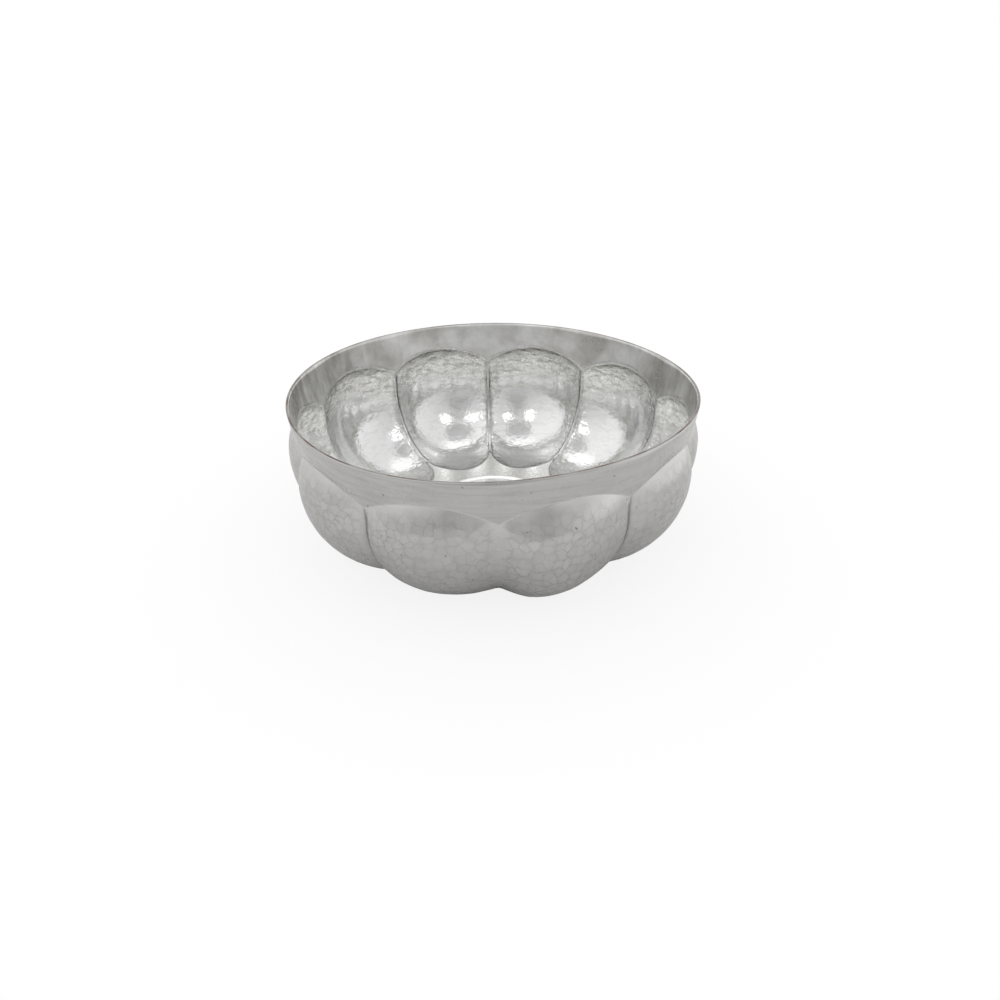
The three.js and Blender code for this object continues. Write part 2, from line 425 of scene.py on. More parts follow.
def map_blows(piece, shown):
    """A UV map in millimetres over the shown face."""
    half_turn = math.pi / LOBES
    flat_radius = base_wall(along)[0]
    next_across = np.roll(across, -1)
    next_across[LOBE_COLUMNS - 1 :: LOBE_COLUMNS] = 1
    left_x = across * half_turn * flat_radius + lobe * LOBE_APART
    next_radius = np.roll(flat_radius, -1, axis=1)
    right_x = next_across * half_turn * next_radius + lobe * LOBE_APART
    next_along = np.roll(along, -1, axis=1)
    left = np.stack([left_x, along], axis=-1)
    right = np.stack([right_x, next_along], axis=-1)
    flat = shown[..., :2]
    flat_right = np.roll(flat, -1, axis=1)
    on_floor = (np.arange(ROWS - 1) >= TOE_ROW)[:, None, None]
    corners = np.stack([
        np.where(on_floor, flat[:-1], left[:-1]),
        np.where(on_floor, flat[1:], left[1:]),
        np.where(on_floor, flat_right[1:], right[1:]),
        np.where(on_floor, flat_right[:-1], right[:-1]),
    ], axis=2)
    fan = np.stack([flat[-1], np.zeros_like(flat[-1]), flat_right[-1]], axis=1)
    if piece is tin_inside:
        corners = corners[:, :, ::-1]
        fan = fan[:, ::-1]
    values = np.zeros((len(piece.data.loops), 2), dtype=np.float32)
    known = np.concatenate([corners.reshape(-1, 2), fan.reshape(-1, 2)])
    values[: len(known)] = known
    wobble = np.sin(2 * math.pi * values[:, ::-1] / WANDER_LENGTH + values)
    layer = piece.data.uv_layers.new(name=BLOWS)
    layer.uv.foreach_set("vector", (values + WANDER * wobble).ravel())
    print(f"{piece.name}: {len(known)} corners mapped")


map_blows(tin_outside, outside)
map_blows(tin_inside, inside)

# %% [markdown]
# How hard each place was struck.
# This is a number at each point of the mesh, which both the shape and the material can read. Outside
# it is full on the lobes, half on the floor and nothing in the grooves and on the band. Inside it is
# full only high on each lobe, and faint nearly everywhere else. The chased lines, the band and the
# floor are noted in the same way, for the materials alone.

# %% Numbers at the points


def note(piece, name, values):
    """A number at each point of the shown face, and 0 elsewhere."""
    whole = np.zeros(len(piece.data.vertices), dtype=np.float32)
    whole[: values.size] = values.ravel()
    piece.data.attributes.new(name, "FLOAT", "POINT").data.foreach_set("value", whole)
    print(f"{piece.name}: {name}, on average {values.mean():.2f}")


# %% Distances on the wall, in mm
to_groove = (1 - np.abs(across)) * math.pi / LOBES * base_wall(along)[0]
from_arch = along - top
to_toe = toe - along
above_arch = from_arch < 0
past_toe = to_toe < 0
in_lobe = ~above_arch & ~past_toe
from_edge = np.where(in_lobe, np.minimum(np.minimum(to_groove, from_arch), to_toe), 0)


def fades(distance, start, over):
    """1 up to a distance, and then down to 0 over some more."""
    return 1 - eased((distance - start) / over)


print(f"lobes are up to {2 * to_groove[in_lobe].max():.0f} mm wide")

# %% Struck outside
STRUCK_BY = 4  # mm in from a lobe's edge by which blows are full
FLOOR_STRUCK = 0.5
FLOOR_STRUCK_BY = 3  # mm in from the toes
WORN_TO = 0.6  # mm above the table to which the feet have lost their marks
beside_ring = 1 - np.cos(trough * math.pi / 2)
struck_outside = np.where(in_lobe, eased(from_edge / STRUCK_BY), 0)
struck_outside += FLOOR_STRUCK * past_toe * eased(-to_toe / FLOOR_STRUCK_BY) * beside_ring
struck_outside *= eased(outside[..., 2] / WORN_TO)
note(tin_outside, "struck", struck_outside)

# %% Struck inside
LOBES_STRUCK, BAND_STRUCK, INSIDE_FLOOR_STRUCK = 0.14, 0.02, 0.05  # faintly, everywhere
SIDES_STRUCK = 0.45  # along the grooves and toes, as a part of what is struck high on a lobe
INSIDE_STRUCK_BY = 1.5  # mm in from a lobe's edge
high_on_lobe = fades(from_arch, start=16, over=4)
low_edges = np.maximum(fades(to_groove, start=2, over=5), fades(to_toe, start=3, over=5))
rough_places = np.maximum(high_on_lobe, SIDES_STRUCK * low_edges)
rough_places *= in_lobe * eased(from_edge / INSIDE_STRUCK_BY)
faint = np.where(in_lobe, LOBES_STRUCK, np.where(above_arch, BAND_STRUCK, INSIDE_FLOOR_STRUCK))
struck_inside = faint + (1 - LOBES_STRUCK) * rough_places
note(tin_inside, "struck", struck_inside)

# %% Lines that were chased outside
ARCH_LINE, GROOVE_LINE, NOTCH = 0.5, 0.45, 6  # mm, how wide each is
NOTCH_DARK = 0.85
arch_line = np.exp(-np.abs(from_arch) / ARCH_LINE)
groove_line = np.where(in_lobe, np.exp(-to_groove / GROOVE_LINE), 0)
low_down = 1 - fades(along, start=62, over=18)
notch = near_front * np.exp(-to_groove / NOTCH) * low_down
# The arch note is a painted highlight along each arch.
note(tin_outside, "arch", arch_line)
# The shoulder note marks where each lobe's top is painted light, as a painted highlight.
note(tin_outside, "shoulder", np.where(in_lobe, fades(from_arch, start=0, over=11), 0))
# The hollow note is painted shade in the grooves and at the notch of the front groove.
note(tin_outside, "hollow", np.maximum(groove_line * crispness, NOTCH_DARK * notch))

# %% Lines that were chased inside, the band and the floor
TOE_LINE, RIDGE_LINE = 0.7, 1.0  # mm, how wide each is
TOE_DARK = 0.7
BAND_DULL_BY = 1.5  # mm up from an arch
toe_line = np.exp(-np.abs(to_toe) / TOE_LINE)
ridge_line = np.where(in_lobe, np.exp(-to_groove / RIDGE_LINE), 0) * (1 - low_down)
# Painted shade under each arch, noted as shade.
under_arch = in_lobe * eased(from_arch / INSIDE_STRUCK_BY) * fades(from_arch, start=1, over=4)
# The hollow note darkens the chased lines inside, partly as tarnish and partly as painted shade.
note(tin_inside, "hollow", np.maximum(np.maximum(arch_line, TOE_DARK * toe_line), ridge_line))
note(tin_inside, "shade", under_arch)
note(tin_inside, "band", above_arch * eased(-from_arch / BAND_DULL_BY))
note(tin_inside, "floor", 1.0 * past_toe)

# %% [markdown]
# Colours and nodes.
# Colours are written as the hex values that a screen shows, and one function turns them to the
# linear values that Blender reckons with. One more function adds a node, whatever its kind. Some
# nodes have several sockets of one name, for numbers and for colours, and only those in use count.
# A pattern's scale is how many of its marks fit in one unit, so it is worked out from how many there
# are per mm. Object coordinates are in metres, so there it is that number divided by a millimetre.

# %% Helpers


def colour(hex_value):
    """An sRGB hex colour as linear red, green, blue and alpha."""
    channels = [int(hex_value[i : i + 2], 16) / 255 for i in (1, 3, 5)]
    linear = [c / 12.92 if c <= 0.04045 else ((c + 0.055) / 1.055) ** 2.4 for c in channels]
    return (*linear, 1.0)


def feed(tree, node, inputs):
    """Gives each input a value, another node's output, or a node, for its first output in use."""
    in_use = [socket for socket in node.inputs if socket.enabled]
    for name, value in inputs.items():
        socket = in_use[name] if isinstance(name, int) else next(s for s in in_use if s.name == name)
        if isinstance(value, bpy.types.Node):
            value = next(s for s in value.outputs if s.enabled)
        if isinstance(value, bpy.types.NodeSocket):
            tree.links.new(value, socket)
        else:
            socket.default_value = value


def add_node(tree, kind, inputs=None, **settings):
    """Adds a node, with its own settings, and feeds its inputs."""
    node = tree.nodes.new(kind)
    for name, value in settings.items():
        setattr(node, name, value)
    feed(tree, node, inputs or {})
    return node


# %% [markdown]
# The hammer marks themselves.
# A planishing hammer has a slightly domed face, and each blow leaves a facet flatter than the wall
# round it. Seen close, the wall is a net of ridges between shallow dishes. Voronoi cells are just
# that: every point belongs to its nearest blow, and lies higher the further it is from it. Geometry
# nodes reckon the cells, because the material can then draw on the very same ones.

# %% Dishes, as geometry nodes
WAVES_PER_MM = 0.11
RANDOMNESS = 0.8  # a smith's blows are near to even, but never in line
DISH_MEAN = 0.17  # mean height of a dish, as a part of its full height, so that the wall stays put


def dishes(pitch, crown, waver):
    """Nodes that press dishes into a struck face. Crown is the radius of wall that a blow would flatten."""
    tree = bpy.data.node_groups.new("blows", "GeometryNodeTree")
    tree.interface.new_socket("Geometry", in_out="INPUT", socket_type="NodeSocketGeometry")
    tree.interface.new_socket("Geometry", in_out="OUTPUT", socket_type="NodeSocketGeometry")
    start = add_node(tree, "NodeGroupInput")
    place = add_node(tree, "GeometryNodeInputNamedAttribute", {"Name": BLOWS}, data_type="FLOAT_VECTOR")
    struck = add_node(tree, "GeometryNodeInputNamedAttribute", {"Name": "struck"}, data_type="FLOAT")
    cells = add_node(
        tree, "ShaderNodeTexVoronoi", {"Vector": place, "Scale": 1 / pitch, "Randomness": RANDOMNESS},
        voronoi_dimensions="2D",
    )
    squared = add_node(tree, "ShaderNodeMath", {0: cells, 1: 2}, operation="POWER")
    height = pitch**2 / (2 * crown) * MM
    dish = add_node(
        tree, "ShaderNodeMath", {0: squared, 1: height, 2: -DISH_MEAN * height}, operation="MULTIPLY_ADD"
    )
    wide = add_node(
        tree, "ShaderNodeTexNoise", {"Vector": place, "Scale": WAVES_PER_MM, "Detail": 1},
        noise_dimensions="2D",
    )
    wander = add_node(
        tree, "ShaderNodeMath", {0: wide, 1: 2 * waver * MM, 2: -waver * MM}, operation="MULTIPLY_ADD"
    )
    both = add_node(tree, "ShaderNodeMath", {0: dish, 1: wander}, operation="ADD")
    amount = add_node(tree, "ShaderNodeMath", {0: both, 1: struck}, operation="MULTIPLY")
    out_there = add_node(tree, "GeometryNodeInputNormal")
    offset = add_node(tree, "ShaderNodeVectorMath", {0: out_there, "Scale": amount}, operation="SCALE")
    moved = add_node(tree, "GeometryNodeSetPosition", {"Geometry": start, "Offset": offset})
    add_node(tree, "NodeGroupOutput", {"Geometry": moved})
    print(f"dishes {pitch} mm apart and {height / MM / 4:.3f} mm deep")
    return tree


# %% Strike the tin
OUTSIDE_PITCH = 4.1  # mm from blow to blow
INSIDE_PITCH = 3.0
OUTSIDE_CROWN = 45  # mm
INSIDE_CROWN = 12
OUTSIDE_WAVER = 0.06  # mm that the wall wanders in and out, over several blows
INSIDE_WAVER = 0.05


def strike(piece, nodes):
    """Runs the nodes on a piece, and keeps the mesh that they make."""
    piece.modifiers.new("blows", "NODES").node_group = nodes
    before = np.empty(3 * len(piece.data.vertices))
    piece.data.vertices.foreach_get("co", before)
    evaluated = piece.evaluated_get(bpy.context.evaluated_depsgraph_get())
    struck_mesh = bpy.data.meshes.new_from_object(evaluated)
    piece.modifiers.clear()
    piece.data = struck_mesh
    after = np.empty_like(before)
    piece.data.vertices.foreach_get("co", after)
    moves = np.linalg.norm((after - before).reshape(-1, 3), axis=1) / MM
    print(f"{piece.name}: blows move the tin by up to {moves.max():.3f} mm, on average {moves.mean():.3f}")


strike(tin_outside, dishes(OUTSIDE_PITCH, OUTSIDE_CROWN, OUTSIDE_WAVER))
strike(tin_inside, dishes(INSIDE_PITCH, INSIDE_CROWN, INSIDE_WAVER))

# %% [markdown]
# Metals and their layers of colour.
# All three metals here are made alike. Each starts from one clean colour, and dirt, wear and rubbing
# are laid over it, one after another. So a finish is a list of colours, each with a number that says
# how much of it shows at a point.

# %% Start a metal, and paint it


def new_metal(name, piece):
    """A new metal on a piece. Gives its node tree and its shader."""
    material = bpy.data.materials.new(name)
    material.use_nodes = True
    piece.data.materials.append(material)
    shader = material.node_tree.nodes["Principled BSDF"]
    feed(material.node_tree, shader, {"Metallic": 1.0})
    return material.node_tree, shader


def paint(tree, shader, clean, layers):
    """Lays colours over a clean one, in turn. Each layer is how much of it shows, and its colour."""
    painted = clean
    for amount, tint in layers:
        painted = add_node(
            tree, "ShaderNodeMix", {"Factor": amount, "A": painted, "B": colour(tint)}, data_type="RGBA"
        )
    feed(tree, shader, {"Base Color": painted})
    print(f"{len(layers)} layers of colour over the clean metal")


# %% [markdown]
# Tin on the outside.
# It is wiped on hot with a wad, and then the bowl is handled and stands in the air for years, so it
# is satin and grey. Blows show as facets with thin dark lines between them, where tarnish stays. Tin
# here is a metal with a plain, pale colour, and its roughness makes it satin: the surface is rubbed
# in all directions, finer than any mark that shows.

# %% Satin tin
tree, shader = new_metal("tin, hand-wiped and dulled", tin_outside)
place = add_node(tree, "ShaderNodeUVMap", uv_map=BLOWS)
solid = add_node(tree, "ShaderNodeTexCoord").outputs["Object"]
struck, in_groove, on_arch, on_shoulder = (
    add_node(tree, "ShaderNodeAttribute", attribute_name=name).outputs["Fac"]
    for name in ("struck", "hollow", "arch", "shoulder")
)
layers = []

# %% Clouds left by the wad
CLOUDS_PER_MM = 0.03  # about 33 mm across, with finer ones in them
clouds = add_node(
    tree, "ShaderNodeTexNoise",
    {"Vector": solid, "Scale": CLOUDS_PER_MM / MM, "Detail": 5, "Roughness": 0.62},
)
wiped = add_node(
    tree, "ShaderNodeMix", {"Factor": clouds, "A": colour("#BCBBB9"), "B": colour("#D2D1CF")},
    data_type="RGBA",
)

# %% Streaks along the band
# Wiping round the band leaves streaks one or two millimetres high and some centimetres long.
STREAKS_PER_MM = (0.045, 0.045, 0.6)  # along X, Y and Z
stretched = add_node(
    tree, "ShaderNodeMapping", {"Vector": solid, "Scale": [count / MM for count in STREAKS_PER_MM]}
)
streaks = add_node(
    tree, "ShaderNodeTexNoise", {"Vector": stretched, "Scale": 1, "Detail": 3, "Roughness": 0.6}
)
streaky = add_node(
    tree, "ShaderNodeMapRange",
    {"Value": streaks, "From Min": 0.42, "From Max": 0.7, "To Min": 0, "To Max": 0.32},
)
unstruck = add_node(tree, "ShaderNodeMath", {0: 1.0, 1: struck}, operation="SUBTRACT")
streaky = add_node(tree, "ShaderNodeMath", {0: streaky, 1: unstruck}, operation="MULTIPLY")
layers.append((streaky, "#9C9A97"))

# %% Shoulders painted light
# The top of each lobe, under its arch, is painted light: a painted highlight, and in part tin rubbed
# cleaner.
shoulder_highlight = add_node(tree, "ShaderNodeMath", {0: on_shoulder, 1: 0.5}, operation="MULTIPLY")
layers.append((shoulder_highlight, "#D8D7D5"))

# %% Facets
# The cells are those that struck the mesh, but their edges are shaken a little, as worn ones are.
SHAKE = 1.4  # mm
SHAKES_PER_MM = 0.55
shaky = add_node(
    tree, "ShaderNodeTexNoise", {"Vector": place, "Scale": SHAKES_PER_MM, "Detail": 1}, noise_dimensions="2D"
)
shaky = add_node(
    tree, "ShaderNodeVectorMath", {0: shaky.outputs["Color"], 1: (SHAKE, SHAKE, 0), 2: place},
    operation="MULTIPLY_ADD",
)
blow = {"Vector": shaky, "Scale": 1 / OUTSIDE_PITCH, "Randomness": RANDOMNESS}
cells = add_node(tree, "ShaderNodeTexVoronoi", blow, voronoi_dimensions="2D")
facet = add_node(tree, "ShaderNodeSeparateColor", {"Color": cells.outputs["Color"]})
tone = add_node(tree, "ShaderNodeMath", {0: facet, 1: struck}, operation="MULTIPLY")
tone = add_node(tree, "ShaderNodeMath", {0: tone, 1: 0.2}, operation="MULTIPLY")
layers.append((tone, "#A5A4A1"))
# Each dish is painted darker towards its rim, as painted shade of its curve.
dish_shade = add_node(
    tree, "ShaderNodeMapRange",
    {"Value": cells, "From Min": 0.3, "From Max": 0.62, "To Min": 0, "To Max": 0.16},
    interpolation_type="SMOOTHSTEP",
)
dish_shade = add_node(tree, "ShaderNodeMath", {0: dish_shade, 1: struck}, operation="MULTIPLY")
layers.append((dish_shade, "#9B9A97"))

# %% Dark lines between facets
LINE = 0.075  # how far from an edge a line reaches, as a part of a blow's pitch
PATCHES_PER_MM = 0.06  # where the lines are dark or faint
edges = add_node(tree, "ShaderNodeTexVoronoi", blow, voronoi_dimensions="2D", feature="DISTANCE_TO_EDGE")
line = add_node(
    tree, "ShaderNodeMapRange",
    {"Value": edges, "From Min": 0, "From Max": LINE, "To Min": 1, "To Max": 0},
    interpolation_type="SMOOTHSTEP",
)
patches = add_node(tree, "ShaderNodeTexNoise", {"Vector": solid, "Scale": PATCHES_PER_MM / MM, "Detail": 3})
patchy = add_node(
    tree, "ShaderNodeMapRange",
    {"Value": patches, "From Min": 0.35, "From Max": 0.68, "To Min": 0.1, "To Max": 0.45},
)
off_shoulder = add_node(tree, "ShaderNodeMath", {0: 1.0, 1: on_shoulder}, operation="SUBTRACT")
dark = line
for held_by in (patchy, struck, off_shoulder):
    dark = add_node(tree, "ShaderNodeMath", {0: dark, 1: held_by}, operation="MULTIPLY")
layers.append((dark, "#8B8985"))

# %% Painted shade in the grooves, and a painted highlight along the arches
groove_shade = add_node(tree, "ShaderNodeMath", {0: in_groove, 1: 0.7}, operation="MULTIPLY")
layers.append((groove_shade, "#5E5B57"))
arch_highlight = add_node(tree, "ShaderNodeMath", {0: on_arch, 1: 0.3}, operation="MULTIPLY")
layers.append((arch_highlight, "#DCDBD9"))

# %% Pits and worn feet
# One place in two may have a pit, and none is wider than a millimetre or so.
PIT_SPACING = 9  # mm
PIT_REACH = 0.07  # radius of the widest, as a part of the spacing
pits = add_node(
    tree, "ShaderNodeTexVoronoi", {"Vector": place, "Scale": 1 / PIT_SPACING, "Randomness": 1.0},
    voronoi_dimensions="2D",
)
how_big = add_node(tree, "ShaderNodeSeparateColor", {"Color": pits.outputs["Color"]})
reach = add_node(
    tree, "ShaderNodeMapRange",
    {"Value": how_big, "From Min": 0.55, "From Max": 1, "To Min": 0, "To Max": PIT_REACH},
)
in_pit = add_node(
    tree, "ShaderNodeMapRange",
    {"Value": pits, "From Min": 0, "From Max": reach, "To Min": 0.85, "To Max": 0},
)
layers.append((in_pit, "#5C544C"))
stood = add_node(tree, "ShaderNodeSeparateXYZ", {"Vector": solid})
worn = add_node(
    tree, "ShaderNodeMapRange",
    {"Value": stood.outputs["Z"], "From Min": 0.02 * MM, "From Max": 0.3 * MM, "To Min": 1, "To Max": 0},
)
layers.append((worn, "#A8765C"))
paint(tree, shader, wiped, layers)

# %% How dull, and how uneven
GRAINS_PER_MM = 0.7  # coarser than a wad leaves, so that they show
dullness = add_node(tree, "ShaderNodeMix", {"Factor": 0.5, "A": clouds, "B": facet.outputs["Green"]})
rough = add_node(
    tree, "ShaderNodeMapRange",
    {"Value": dullness, "From Min": 0.25, "From Max": 0.75, "To Min": 0.19, "To Max": 0.31},
)
grain = add_node(
    tree, "ShaderNodeTexNoise", {"Vector": solid, "Scale": GRAINS_PER_MM / MM, "Detail": 3, "Roughness": 0.7}
)
uneven = add_node(tree, "ShaderNodeMath", {0: dark, 1: -0.03}, operation="MULTIPLY")
for mark, height in ((grain, 0.012), (in_pit, -0.1)):
    uneven = add_node(tree, "ShaderNodeMath", {0: mark, 1: height, 2: uneven}, operation="MULTIPLY_ADD")
bump = add_node(tree, "ShaderNodeBump", {"Height": uneven, "Distance": MM})
feed(tree, shader, {"Roughness": rough, "Normal": bump})
print(f"satin tin: {len(tree.nodes)} nodes")

# %% [markdown]
# Tin on the inside.
# The lining is kept bright, because food touches it. It is nearly a mirror, so what gives it its
# look is its unevenness: small blows high on each lobe, where the wall was closed in, and ripples
# from the wiping wad everywhere. High on the lobes the wad drags the tin into streaks that run round
# the bowl, and dirt stays between them. The rim band is rubbed dull by ladles and hands, the floor is
# hazy from spoons, and the chased lines are darkened, partly by tarnish and partly as painted shade.
# Under each arch the tin is painted darker too, as painted shade.

# %% Bright tin
tree, shader = new_metal("tin, hand-wiped and bright", tin_inside)
place = add_node(tree, "ShaderNodeUVMap", uv_map=BLOWS)
solid = add_node(tree, "ShaderNodeTexCoord").outputs["Object"]
struck, in_line, in_shade, on_band, on_floor = (
    add_node(tree, "ShaderNodeAttribute", attribute_name=name).outputs["Fac"]
    for name in ("struck", "hollow", "shade", "band", "floor")
)
layers = []

# %% Clean, and whiter where it was wiped twice
BRIGHT_CLOUDS_PER_MM = 0.045
clouds = add_node(
    tree, "ShaderNodeTexNoise",
    {"Vector": solid, "Scale": BRIGHT_CLOUDS_PER_MM / MM, "Detail": 4, "Roughness": 0.6},
)
clean = add_node(
    tree, "ShaderNodeMix", {"Factor": clouds, "A": colour("#E4E4E4"), "B": colour("#F0F0F0")},
    data_type="RGBA",
)
wiped_twice = add_node(tree, "ShaderNodeMath", {0: struck, 1: on_floor}, operation="MAXIMUM")
layers.append((wiped_twice, "#FAFAF8"))

# %% Dirt between the streaks
# The streaks are about 7 mm long round the bowl, and under 3 mm high.
DRAGGED_PER_MM = (0.15, 0.38, 1)
round_bowl = add_node(tree, "ShaderNodeMapping", {"Vector": place, "Scale": DRAGGED_PER_MM})
streaks = add_node(
    tree, "ShaderNodeTexNoise", {"Vector": round_bowl, "Scale": 1, "Detail": 2, "Roughness": 0.6}
)
dirty = add_node(tree, "ShaderNodeMapRange", {"Value": streaks, "From Min": 0.48, "From Max": 0.62})
dirt_held = add_node(tree, "ShaderNodeMath", {0: struck, 1: 0.38, 2: 0.04}, operation="MULTIPLY_ADD")
dirty = add_node(tree, "ShaderNodeMath", {0: dirty, 1: dirt_held}, operation="MULTIPLY")
layers.append((dirty, "#97968C"))
# Under each arch the tin is painted darker, as painted shade where the wall overhangs.
shaded = add_node(tree, "ShaderNodeMath", {0: in_shade, 1: 0.45}, operation="MULTIPLY")
layers.append((shaded, "#A3A298"))

# %% The band, dulled in clouds
dulled = add_node(
    tree, "ShaderNodeMapRange",
    {"Value": clouds, "From Min": 0.38, "From Max": 0.62, "To Min": 1, "To Max": 0.1},
)
dulled = add_node(tree, "ShaderNodeMath", {0: dulled, 1: on_band}, operation="MULTIPLY")
layers.append((dulled, "#BFBEBA"))

# %% Dark runs down the band
# The band is painted darker in streaks that run down it at its two sides, most of all on the left.
RUNS_PER_MM = (0.17, 0.17, 0.025)  # along X, Y and Z
upright = add_node(
    tree, "ShaderNodeMapping", {"Vector": solid, "Scale": [count / MM for count in RUNS_PER_MM]}
)
runs = add_node(tree, "ShaderNodeTexNoise", {"Vector": upright, "Scale": 1, "Detail": 3, "Roughness": 0.6})
parts = add_node(tree, "ShaderNodeSeparateXYZ", {"Vector": solid})
sideways = add_node(tree, "ShaderNodeMath", {0: parts.outputs["X"]}, operation="ABSOLUTE")
at_sides = add_node(
    tree, "ShaderNodeMapRange",
    {"Value": sideways, "From Min": 55 * MM, "From Max": 85 * MM, "To Min": 0, "To Max": 0.6},
)
more_left = add_node(
    tree, "ShaderNodeMapRange",
    {"Value": parts.outputs["X"], "From Min": -80 * MM, "From Max": 80 * MM, "To Min": 1, "To Max": 0.5},
)
darker_at_sides = add_node(tree, "ShaderNodeMapRange", {"Value": runs, "From Min": 0.45, "From Max": 0.62})
for held_by in (at_sides, more_left, on_band):
    darker_at_sides = add_node(tree, "ShaderNodeMath", {0: darker_at_sides, 1: held_by}, operation="MULTIPLY")
layers.append((darker_at_sides, "#9A9993"))

# %% Tarnish and painted shade in the chased lines
tarnish_and_shade = add_node(
    tree, "ShaderNodeMapRange",
    {"Value": runs, "From Min": 0.35, "From Max": 0.6, "To Min": 0.2, "To Max": 0.5},
)
tarnish_and_shade = add_node(tree, "ShaderNodeMath", {0: in_line, 1: tarnish_and_shade}, operation="MULTIPLY")
layers.append((tarnish_and_shade, "#7B7A73"))
paint(tree, shader, clean, layers)

# %% Its sheen
SCUFFS_PER_MM = 0.3  # high on the lobes
rough = add_node(
    tree, "ShaderNodeMapRange",
    {"Value": clouds, "From Min": 0.35, "From Max": 0.65, "To Min": 0.09, "To Max": 0.16},
)
scuffs = add_node(tree, "ShaderNodeTexNoise", {"Vector": solid, "Scale": SCUFFS_PER_MM / MM, "Detail": 2})
scuffed = add_node(
    tree, "ShaderNodeMapRange",
    {"Value": scuffs, "From Min": 0.5, "From Max": 0.62, "To Min": 0, "To Max": 0.28},
)
for spot, rougher in ((on_band, 0.18), (on_floor, 0.14), (struck, scuffed)):
    rough = add_node(tree, "ShaderNodeMath", {0: spot, 1: rougher, 2: rough}, operation="MULTIPLY_ADD")

# %% Its ripples
RIPPLES_PER_MM = 0.33
STREAK_HEIGHT = 0.7  # mm, drawn higher than it is, so that it shows
ripple = add_node(
    tree, "ShaderNodeTexNoise",
    {"Vector": solid, "Scale": RIPPLES_PER_MM / MM, "Detail": 2.5, "Roughness": 0.55},
)
amount = add_node(tree, "ShaderNodeMath", {0: struck, 1: 0.03}, operation="ADD")
amount = add_node(tree, "ShaderNodeMath", {0: amount, 1: 0.4}, operation="MINIMUM")
rippled = add_node(tree, "ShaderNodeMath", {0: ripple, 1: amount}, operation="MULTIPLY")
streaked = add_node(tree, "ShaderNodeMath", {0: struck, 1: streaks}, operation="MULTIPLY")
uneven = add_node(
    tree, "ShaderNodeMath", {0: streaked, 1: -STREAK_HEIGHT, 2: rippled}, operation="MULTIPLY_ADD"
)
bump = add_node(tree, "ShaderNodeBump", {"Height": uneven, "Distance": MM})
feed(tree, shader, {"Roughness": rough, "Normal": bump})
print(f"bright tin: {len(tree.nodes)} nodes")

# %% [markdown]
# Bare copper.
# Copper shows only where tin has gone: along the cut edge of the rim, and under the feet. Old copper
# is brown, not orange, and dull. Smears of tin still cover parts of the edge.

# %% Copper edge
SMEARS_PER_MM = 0.09
tree, shader = new_metal("copper, bare and browned", copper_sheet)
solid = add_node(tree, "ShaderNodeTexCoord").outputs["Object"]
smears = add_node(tree, "ShaderNodeTexNoise", {"Vector": solid, "Scale": SMEARS_PER_MM / MM, "Detail": 4})
browned = add_node(
    tree, "ShaderNodeMix", {"Factor": smears, "A": colour("#6E5E55"), "B": colour("#8B7A6E")},
    data_type="RGBA",
)
tin_left = add_node(
    tree, "ShaderNodeMapRange",
    {"Value": smears, "From Min": 0.36, "From Max": 0.56, "To Min": 0.15, "To Max": 0.95},
)
paint(tree, shader, browned, [(tin_left, "#A5A19D")])
rough = add_node(
    tree, "ShaderNodeMapRange",
    {"Value": smears, "From Min": 0.3, "From Max": 0.7, "To Min": 0.55, "To Max": 0.4},
)
feed(tree, shader, {"Roughness": rough})

# %% [markdown]
# The tent of light.
# Polished metal shows whatever stands round it, so it is photographed in a tent of white cloth, lit
# from outside. The cloth is white behind the bowl and dims towards the camera. Low down it is
# brighter on the right, and high up on the left. One function gives that level for a direction,
# because the floor's far reaches and the world both need it.

# %% How bright the cloth is
CLOTH = ((0.0, 0.95), (0.3, 0.9), (0.5, 0.82), (0.65, 0.75), (0.8, 0.68), (0.9, 0.62), (1.0, 0.57))
LEFT, RIGHT = 0.86, 1.12  # low down
SIDES_TRADE = 2.5  # how fast the two sides trade places with height
SIDES_REACH = 0.9  # how far to a side the cloth keeps changing, as a part of a direction


def cloth_level(tree, direction):
    """A node with the cloth's level, from a direction's parts. CLOTH runs from the side to the front."""
    forwards = add_node(tree, "ShaderNodeMath", {0: direction.outputs["Y"], 1: -1.0}, operation="MULTIPLY")
    ramp = add_node(tree, "ShaderNodeValToRGB", {0: forwards})
    ramp.color_ramp.elements.remove(ramp.color_ramp.elements[1])
    for i, (position, level) in enumerate(CLOTH):
        element = ramp.color_ramp.elements[0] if i == 0 else ramp.color_ramp.elements.new(position)
        element.position = position
        element.color = (level, level, level, 1)
    trade = add_node(
        tree, "ShaderNodeMath", {0: direction.outputs["Z"], 1: -SIDES_TRADE, 2: 1.0},
        operation="MULTIPLY_ADD",
    )
    sideways = add_node(tree, "ShaderNodeMath", {0: direction.outputs["X"], 1: trade}, operation="MULTIPLY")
    reach = {"From Min": -SIDES_REACH, "From Max": SIDES_REACH}
    sides = add_node(
        tree, "ShaderNodeMapRange", {"Value": sideways, **reach, "To Min": LEFT, "To Max": RIGHT}
    )
    return add_node(tree, "ShaderNodeMath", {0: ramp, 1: sides}, operation="MULTIPLY")


# %% [markdown]
# The floor.
# It is a plain white sheet that runs to the horizon. Near the bowl it is painted white and takes the
# bowl's shadow, drawn light. Further out it fades to pure white for the camera, and to the level of
# the tent for reflections, so no horizon shows in either.

# %% White sheet
FLOOR_HALF = 30.0  # metres
floor_mesh = bpy.data.meshes.new("floor")
corners = [(x * FLOOR_HALF, y * FLOOR_HALF, 0) for x, y in ((-1, -1), (1, -1), (1, 1), (-1, 1))]
floor_mesh.from_pydata(corners, [], [(0, 1, 2, 3)])
floor = bpy.data.objects.new("floor", floor_mesh)
bpy.context.scene.collection.objects.link(floor)

